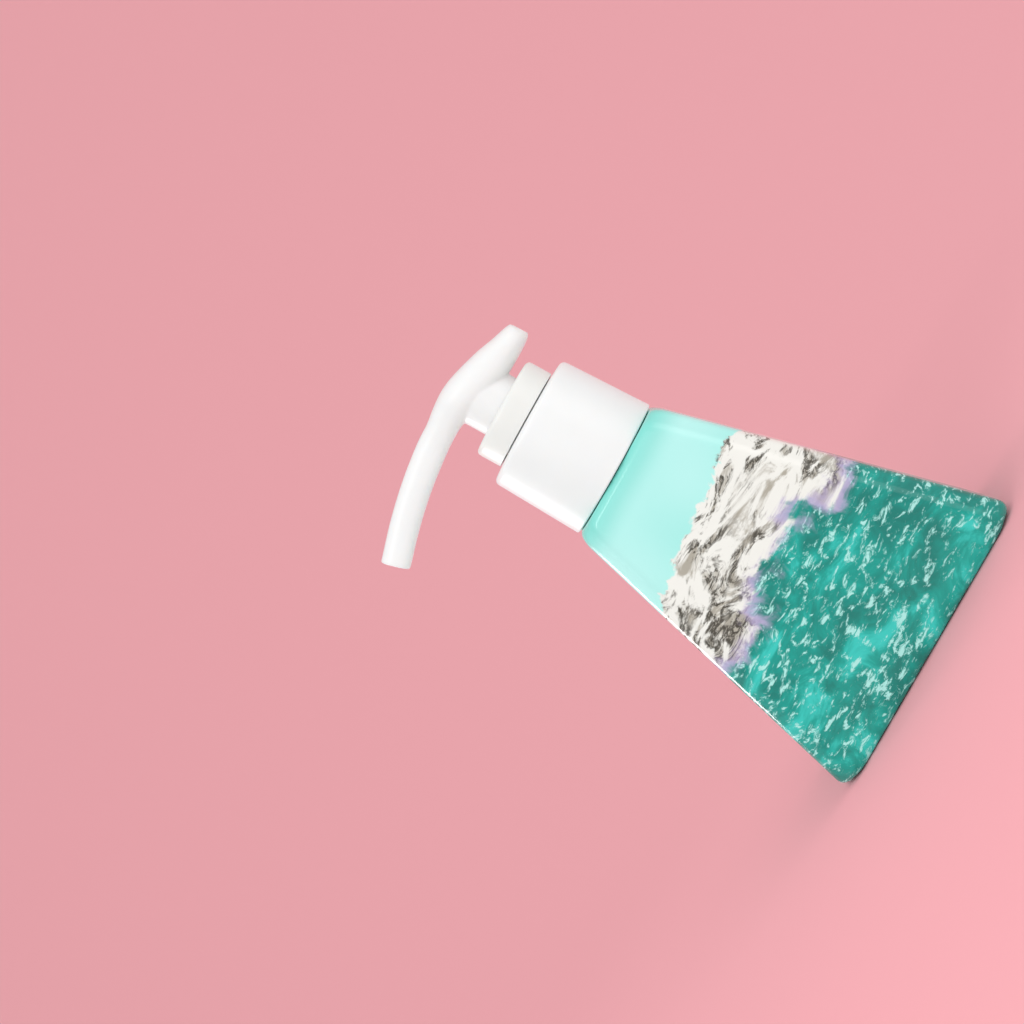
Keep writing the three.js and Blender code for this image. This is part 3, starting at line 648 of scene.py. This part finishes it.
def makeCollar(s):
    low, high = boxOf("collar")
    top, radius = high[2], high[0]
    foot = boxOf("closure")[1][2] + s["footGap"]
    guideFoot = low[2]
    hub, hubFoot = s["bore"] + s["hubWall"], guideFoot + s["guideLength"]
    inner, roof = radius - s["shell"], top - s["shell"]
    hubInside = hubFoot + s["hubFloor"]
    return turnedPiece("guide_collar", [
        [s["bore"], top, s["mouth"]], [radius, top, s["edge"]], [radius, foot, s["soft"]],
        [inner, foot, s["fine"]], [inner, roof, s["under"]],
        [hub, roof, s["under"]], [hub, hubFoot, s["soft"]], [s["guideRadius"], hubFoot, s["fine"]],
        [s["guideRadius"], guideFoot, s["soft"]], [s["stemHole"], guideFoot, s["fine"]],
        [s["stemHole"], hubInside, s["fine"]], [s["bore"], hubInside, s["soft"]],
    ], sides=s["sides"])


collar = makeCollar(collarSet)
finishPiece(collar, "pump_body", ["collar"], collarWhite)
print("closure and collar turned")

# Pump head: thumb tab, crown and curved spout as one skin round a middle line, joined to the skirt,
# bored out, and softened where the forms meet
headSet = {
    "tabReach": 20.7, "tabThickness": 6.2, "tabClearance": 2.8, "width": 19.0,
    "crownHeight": 15.9, "crownThickness": 10.4, "spoutReach": 51.6, "spoutRise": 11.3, "spoutDrop": 6.8,
    "spoutRadius": 4.25, "tipRadius": 4.05, "channelRadius": 2.7, "skirtRadius": 8.65, "skirtWall": 1.3,
    "skirtDepth": 13.0, "skirtShare": 0.55, "skirtEdge": 0.3, "roof": 1.5, "roomEdge": 0.5,
    "socketRadius": 5.2, "socketBore": 3.8, "socketDepth": 9.0, "stemGap": 0.3,
    "spoutRoot": 0.65,      # where the spout begins, as a share of the tab's reach on the other side
    "spoutSag": 1.75,       # power of its drop; 1 would be straight
    "channelFoot": 1.7, "channelRise": 1.5,     # the channel's start under, and rise over, the stem's top
    "channelTurn": (-3.0, -1.6),                # its bend: x, and height over the spout's root
    "channelShares": (0.72, 0.8, 0.87, 0.94, 1.0),      # where it follows the head's middle line
    "fullness": 0.8,
    "past": 1.0,            # how far a cutter reaches past what it cuts
    "rings": 150, "sides": 72, "channelRings": 90, "channelSides": 40,
    "voxel": 0.31, "softening": 6,
}


# Points on a smooth curve through the stations, the same kind of spline in every column: between
# two stations it is a cubic whose slope at each is a share of the step from its neighbours
def throughStations(stations, share, tension=0.5):
    spots = np.array(stations, float)
    padded = np.concatenate([2 * spots[:1] - spots[1:2], spots, 2 * spots[-1:] - spots[-2:-1]])
    place = share * (len(spots) - 1)
    i = np.clip(place.astype(int), 0, len(spots) - 2)
    t = (place - i)[:, None]
    p0, p1, p2, p3 = (padded[i + k] for k in range(4))
    m1, m2 = tension * (p2 - p0), tension * (p3 - p1)
    return ((2 * t ** 3 - 3 * t ** 2 + 1) * p1 + (t ** 3 - 2 * t ** 2 + t) * m1
            + (-2 * t ** 3 + 3 * t ** 2) * p2 + (t ** 3 - t ** 2) * m2)


# Stations along the head: x, height over the collar, half-thickness, half-width
def headStations(s):
    tabMiddle = s["tabClearance"] + s["tabThickness"] / 2
    crownMiddle = s["crownHeight"] - s["crownThickness"] / 2
    reach, tab, wide, crown = s["tabReach"], s["tabThickness"], s["width"], s["crownThickness"]
    root = -s["spoutRoot"] * reach

    def spoutAt(share):
        radius = s["spoutRadius"] * (1 - share) + s["tipRadius"] * share
        drop = s["spoutDrop"] * share ** s["spoutSag"]
        return [root - (root + s["spoutReach"]) * share, s["spoutRise"] - drop, radius, radius]

    return [
        [reach, tabMiddle, tab * 0.34, wide * 0.17],
        [reach - 0.35, tabMiddle, tab * 0.45, wide * 0.24],
        [reach - 1.4, tabMiddle + 0.1, tab * 0.52, wide * 0.32],
        [reach - 3.6, tabMiddle + 0.4, tab * 0.6, wide * 0.39],
        [reach * 0.65, tabMiddle + 1.0, tab * 0.7, wide * 0.45],
        [reach * 0.4, tabMiddle + 2.1, tab * 0.84, wide * 0.49],
        [0.0, crownMiddle - 0.6, crown * 0.53, wide * 0.5],
        [-0.22 * reach, crownMiddle + 0.4, crown * 0.5, wide * 0.47],
        [-0.44 * reach, crownMiddle + 0.75, crown * 0.44, wide * 0.37],
        [root, s["spoutRise"], s["spoutRadius"] * 0.98, s["spoutRadius"] * 1.3],
        spoutAt(0.16), spoutAt(0.42), spoutAt(0.7), spoutAt(1.0),
    ]


# Full ovals square to a middle line in the XZ plane, where a power under 1 fills out an ellipse:
# point = middle + up * thick * sin(angle) ^ fullness + Y * wide * cos(angle) ^ fullness
def sleeve(middle, thick, wide, sides, fullness):
    travel = np.gradient(middle, axis=0)
    travel /= np.linalg.norm(travel, axis=1, keepdims=True)
    up = np.stack([travel[:, 2], 0 * travel[:, 0], -travel[:, 0]], axis=-1)
    angle = np.linspace(0, 2 * np.pi, sides, endpoint=False)[None, :, None]
    lift = np.sign(np.sin(angle)) * np.abs(np.sin(angle)) ** fullness
    out = np.sign(np.cos(angle)) * np.abs(np.cos(angle)) ** fullness
    y = np.array([0.0, 1.0, 0.0])
    rings = middle[:, None] + up[:, None] * lift * thick[:, None, None] + y * out * wide[:, None, None]
    ends = [np.broadcast_to(middle[k], (1, sides, 3)) for k in (0, -1)]
    return np.concatenate([ends[0], rings, ends[1]])


def applyModifier(piece, kind, **settings):
    modifier = piece.modifiers.new(kind.lower(), kind)
    for key, value in settings.items():
        setattr(modifier, key, value)
    bpy.context.view_layer.objects.active = piece
    bpy.ops.object.modifier_apply(modifier=modifier.name)


def carve(piece, tool, operation):
    applyModifier(piece, "BOOLEAN", object=tool, operation=operation, solver="EXACT")
    bpy.data.objects.remove(tool)


def makeHead(s):
    collarTop = boxOf("collar")[1][2]
    stemTop = boxOf("stem")[1][2]
    skirtFoot = collarTop - s["skirtDepth"]
    past = s["past"]

    # the outer skin, from the tab's end to the spout's tip
    path = throughStations(headStations(s), np.linspace(0, 1, s["rings"]))
    middle = np.stack([path[:, 0], 0 * path[:, 0], collarTop + path[:, 1]], axis=-1)
    head = gridPiece("spout_head", sleeve(middle, path[:, 2], path[:, 3], s["sides"], s["fullness"]))

    # the skirt, which slides in the collar
    skirtTop = collarTop + s["crownHeight"] * s["skirtShare"]
    bore = s["skirtRadius"] - s["skirtWall"]
    skirt = turnedPiece("skirt", [
        [0, skirtFoot + past], [bore, skirtFoot],
        [s["skirtRadius"], skirtFoot, s["skirtEdge"]], [s["skirtRadius"], skirtTop], [0, skirtTop],
    ])
    carve(head, skirt, "UNION")

    # the room round the stem's socket, and the socket's bore
    roomTop = skirtTop - s["roof"]
    stemRoomTop = stemTop + s["stemGap"]
    socketFoot = stemRoomTop - s["socketDepth"]
    room = turnedPiece("room", [
        [s["socketRadius"], roomTop, s["roomEdge"]], [bore, roomTop, s["roomEdge"]],
        [bore, skirtFoot - past], [0, skirtFoot - past], [0, socketFoot], [s["socketRadius"], socketFoot],
    ])
    carve(head, room, "DIFFERENCE")
    stemRoom = turnedPiece("stemRoom", [
        [0, skirtFoot], [s["socketBore"], skirtFoot], [s["socketBore"], stemRoomTop], [0, stemRoomTop],
    ])
    carve(head, stemRoom, "DIFFERENCE")

    # the paste's channel, from the stem up and out through the tip
    lastStep = middle[-1] - middle[-2]
    pastTip = middle[-1] + lastStep * past / np.linalg.norm(lastStep)
    bends = throughStations(headStations(s), np.array(s["channelShares"]))
    turnX, turnRise = s["channelTurn"]
    way = [
        [0, 0, stemTop - s["channelFoot"]], [0, 0, stemTop + s["channelRise"]],
        [turnX, 0, collarTop + s["spoutRise"] + turnRise],
        *[[x, 0, collarTop + z] for x, z in bends[:, :2]],
        pastTip.tolist(),
    ]
    line = throughStations(way, np.linspace(0, 1, s["channelRings"]))
    radius = np.full(len(line), s["channelRadius"])
    channel = gridPiece("channel", sleeve(line, radius, radius, s["channelSides"], 1.0))
    carve(head, channel, "DIFFERENCE")

    # an even skin of small faces, softened where the forms meet
    applyModifier(head, "REMESH", mode="VOXEL", voxel_size=s["voxel"] * mm, adaptivity=0.0)
    applyModifier(head, "SMOOTH", factor=0.5, iterations=s["softening"])
    head.data.shade_smooth()
    return head


head = makeHead(headSet)
finishPiece(head, "head", ["pump_head"], headWhite)
print("pump head shaped:", len(head.data.polygons), "faces")

# Inner pieces keep their solids and take their real finishes here
innerFinishes = {
    "pump_housing": innerWhite, "ball_cage": innerWhite, "piston_rod": innerWhite, "stem": innerWhite,
    "piston": pistonWhite, "dip_tube": tubeNatural,
    "inlet_ball": ballSteel, "return_spring": springSteel,
    "neck_gasket": liner, "toothpaste_fill": paste,
}
for node, material in innerFinishes.items():
    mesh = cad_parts[node].data
    mesh.materials.clear()
    mesh.materials.append(material)
print("inner pieces finished")

# Stage: a floor that curves up into a backdrop, in a pale rose
stageSet = {
    "front": -3200.0, "back": 760.0, "bend": 640.0, "top": 1500.0, "half": 1800.0, "bendSteps": 23,
    "rose": "#FFB4BC", "farRose": "#ECA8AF", "bounce": "#EDEBEA",
    "fibre": 2.5, "fibreDepth": 0.1,
}


# An open sheet: y and z run along the floor, up a quarter circle and up the backdrop
def makeStage(s):
    arc = np.linspace(0, np.pi / 2, s["bendSteps"] + 1)
    y = np.concatenate([[s["front"]], s["back"] - s["bend"] + s["bend"] * np.sin(arc), [s["back"]]])
    z = np.concatenate([[0.0], s["bend"] * (1 - np.cos(arc)), [s["top"]]])
    x = np.array([-s["half"], 0.0, s["half"]])
    points = np.stack(np.broadcast_arrays(x[None], y[:, None], z[:, None]), axis=-1)
    floor = gridPiece("floor", points, closeColumns=False)
    return floor


# Matt paper: rose where it is seen or mirrored, near white where it only lights the object
def paperMaterial(s):
    material, tree, shader, place = newMaterial("mattRosePaper")
    fibre = addNode(tree, "TexNoise", Vector=place, Scale=1 / (s["fibre"] * mm), Detail=3.0)
    light = addNode(tree, "LightPath").outputs
    larger = {"operation": "MAXIMUM"}
    seen = addNode(tree, "Math", larger, i0=light["Is Camera Ray"], i1=light["Is Glossy Ray"])
    seen = addNode(tree, "Math", larger, i0=seen.outputs[0], i1=light["Is Transmission Ray"])
    colour = addNode(tree, "Mix", {"data_type": "RGBA"}, Factor=seen.outputs[0],
                     i6=linear(s["bounce"]), i7=linear(s["rose"]))
    tree.links.new(colour.outputs[2], shader.inputs["Base Color"])
    bump = addNode(tree, "Bump", Height=fibre.outputs["Fac"], Strength=0.05,
                   Distance=s["fibreDepth"] * mm)
    tree.links.new(bump.outputs[0], shader.inputs["Normal"])
    shader.inputs["Roughness"].default_value = 0.9
    shader.inputs["Specular IOR Level"].default_value = 0.1
    return material


stage = makeStage(stageSet)
stage.data.materials.append(paperMaterial(stageSet))

# Lights: one large soft window from the upper left front, a thin strip in front of it that draws a
# highlight along the bottle's shoulder, a weak window from the right, a small lamp from the left behind
# that draws a bright line down the bottle's edge, and an even sky
lightSet = {
    "window": {"place": (-160, -480, 450), "size": 500, "power": 0.5, "spread": 180},
    "strip": {"place": (-150, -400, 400), "size": 280, "height": 30, "power": 0.28, "spread": 180},
    "fill": {"place": (480, -300, 260), "size": 420, "power": 0.6, "spread": 180},
    "rim": {"place": (-360, 200, 100), "size": 120, "power": 0.03, "spread": 40},
    "aim": (0, 0, 90),
    "sky": 0.74,
}


def makeLight(name, s, aim):
    data = bpy.data.lights.new(name, "AREA")
    data.shape = "RECTANGLE"
    data.size, data.size_y = s["size"] * mm, s.get("height", s["size"]) * mm
    data.energy = s["power"]
    data.spread = math.radians(s["spread"])
    lamp = bpy.data.objects.new(name, data)
    bpy.context.scene.collection.objects.link(lamp)
    place = Vector(s["place"])
    turn = (Vector(aim) - place).to_track_quat("-Z", "Y").to_matrix().to_4x4()
    lamp.matrix_world = Matrix.Translation(place * mm) @ turn


for lampName in ("window", "strip", "fill", "rim"):
    makeLight(lampName, lightSet[lampName], lightSet["aim"])


# The sky lights evenly in white, and is a plain rose where it is seen past the floor's edge
def makeSky(strength, s):
    world = bpy.data.worlds.new("evenSky")
    bpy.context.scene.world = world
    world.use_nodes = True
    tree = world.node_tree
    tree.nodes.clear()
    light = addNode(tree, "LightPath").outputs
    white = addNode(tree, "Background", Color=linear("#FFFFFF"), Strength=strength)
    rose = addNode(tree, "Background", Color=linear(s["farRose"]), Strength=1.0)
    sky = addNode(tree, "MixShader", Fac=light["Is Camera Ray"], i1=white.outputs[0], i2=rose.outputs[0])
    addNode(tree, "OutputWorld", Surface=sky.outputs[0])


makeSky(lightSet["sky"], stageSet)
print("stage lit")
